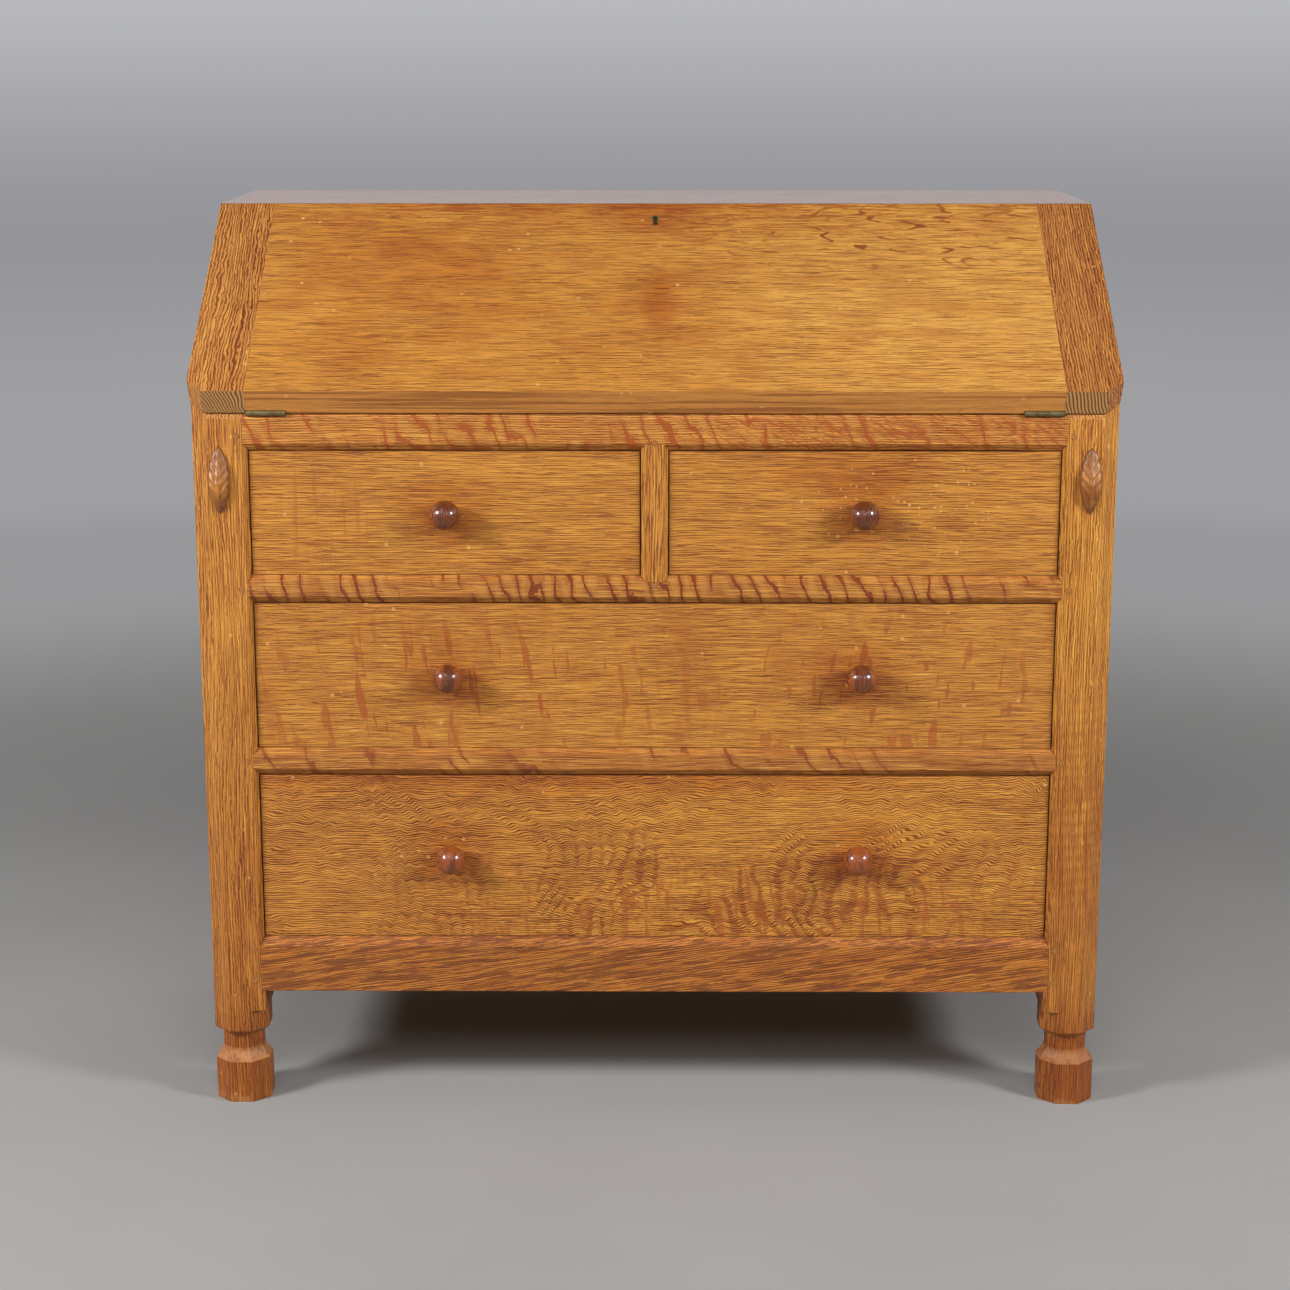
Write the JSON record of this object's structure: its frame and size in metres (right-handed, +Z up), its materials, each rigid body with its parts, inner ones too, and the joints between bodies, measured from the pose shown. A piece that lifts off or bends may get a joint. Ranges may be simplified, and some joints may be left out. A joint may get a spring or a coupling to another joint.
{
  "type": "writing bureau",
  "caption": "Slant-front oak writing bureau: panelled carcase on octagonal feet, a hinged fall over pigeonholes, and knobbed drawers below.",
  "frame": {"origin": "on the floor, under the middle of the bureau's overall box with the fall and drawers closed", "axes": "+X along the width towards the right seen from the front, +Y from the front to the back, +Z up"},
  "size_m": [0.915, 0.5066, 0.912],
  "materials": {
    "post_oak": "waxed",
    "rail_oak": "waxed",
    "panel_oak": "waxed",
    "fall_oak": "waxed",
    "cleat_oak": "waxed",
    "top_oak": "waxed",
    "drawer_front_oak": "waxed",
    "drawer_box_oak": "plain planed",
    "inner_oak": "plain planed",
    "peg_oak": "waxed",
    "knob_wood": "polished",
    "old_brass": "dull, aged",
    "lock_steel": "dull"
  },
  "bodies": {
    "carcase": {"front_post_left": "post_oak", "front_post_right": "post_oak", "back_post_left": "post_oak", "back_post_right": "post_oak", "top_front_rail": "rail_oak", "upper_drawer_rail": "rail_oak", "lower_drawer_rail": "rail_oak", "bottom_front_rail": "rail_oak", "drawer_muntin": "rail_oak", "bottom_side_rails": "rail_oak", "middle_side_rails": "rail_oak", "sloping_side_rails": "rail_oak", "top_side_rails": "rail_oak", "side_panels": "panel_oak", "back_bottom_rail": "rail_oak", "back_middle_rail": "rail_oak", "back_top_rail": "rail_oak", "back_muntin": "rail_oak", "back_panels": "panel_oak", "desk_bed": "top_oak", "top_board": "top_oak", "drawer_runners": "inner_oak", "drawer_guides": "inner_oak", "drawer_stops": "inner_oak", "pigeonhole_shelf": "inner_oak", "pigeonhole_dividers": "inner_oak", "frame_pegs": "peg_oak", "leaf_ornaments": "peg_oak", "hinge_rail_leaves": "old_brass", "hinge_pins": "old_brass", "rail_leaf_screws": "old_brass", "lock_strike": "old_brass"},
    "fall": {"fall_panel": "fall_oak", "fall_cleat_left": "cleat_oak", "fall_cleat_right": "cleat_oak", "hinge_fall_leaves": "old_brass", "fall_leaf_screws": "old_brass", "lock_case": "lock_steel", "keyhole_lining": "old_brass"},
    "bolt": {"lock_bolt": "lock_steel"},
    "top_left_drawer": {"top_left_drawer_front": "drawer_front_oak", "top_left_drawer_sides": "drawer_box_oak", "top_left_drawer_back": "drawer_box_oak", "top_left_drawer_bottom": "drawer_box_oak", "top_left_drawer_knob": "knob_wood"},
    "top_right_drawer": {"top_right_drawer_front": "drawer_front_oak", "top_right_drawer_sides": "drawer_box_oak", "top_right_drawer_back": "drawer_box_oak", "top_right_drawer_bottom": "drawer_box_oak", "top_right_drawer_knob": "knob_wood"},
    "middle_drawer": {"middle_drawer_front": "drawer_front_oak", "middle_drawer_sides": "drawer_box_oak", "middle_drawer_back": "drawer_box_oak", "middle_drawer_bottom": "drawer_box_oak", "middle_drawer_knobs": "knob_wood"},
    "bottom_drawer": {"bottom_drawer_front": "drawer_front_oak", "bottom_drawer_sides": "drawer_box_oak", "bottom_drawer_back": "drawer_box_oak", "bottom_drawer_bottom": "drawer_box_oak", "bottom_drawer_knobs": "knob_wood"}
  },
  "joints": [
    {"name": "fall_hinge", "type": "hinge", "parent": "carcase", "child": "fall", "pos_m": [0, -0.22925, 0.7235], "axis": [1, 0, 0], "range_deg": [0, 146.8]},
    {"name": "lock_bolt_slide", "type": "slide", "parent": "fall", "child": "bolt", "axis": [0, 0.8368, 0.5476], "range_m": [0, 0.006]},
    {"name": "top_left_drawer_slide", "type": "slide", "parent": "carcase", "child": "top_left_drawer", "axis": [0, -1, 0], "range_m": [0, 0.32]},
    {"name": "top_right_drawer_slide", "type": "slide", "parent": "carcase", "child": "top_right_drawer", "axis": [0, -1, 0], "range_m": [0, 0.32]},
    {"name": "middle_drawer_slide", "type": "slide", "parent": "carcase", "child": "middle_drawer", "axis": [0, -1, 0], "range_m": [0, 0.32]},
    {"name": "bottom_drawer_slide", "type": "slide", "parent": "carcase", "child": "bottom_drawer", "axis": [0, -1, 0], "range_m": [0, 0.32]}
  ]
}
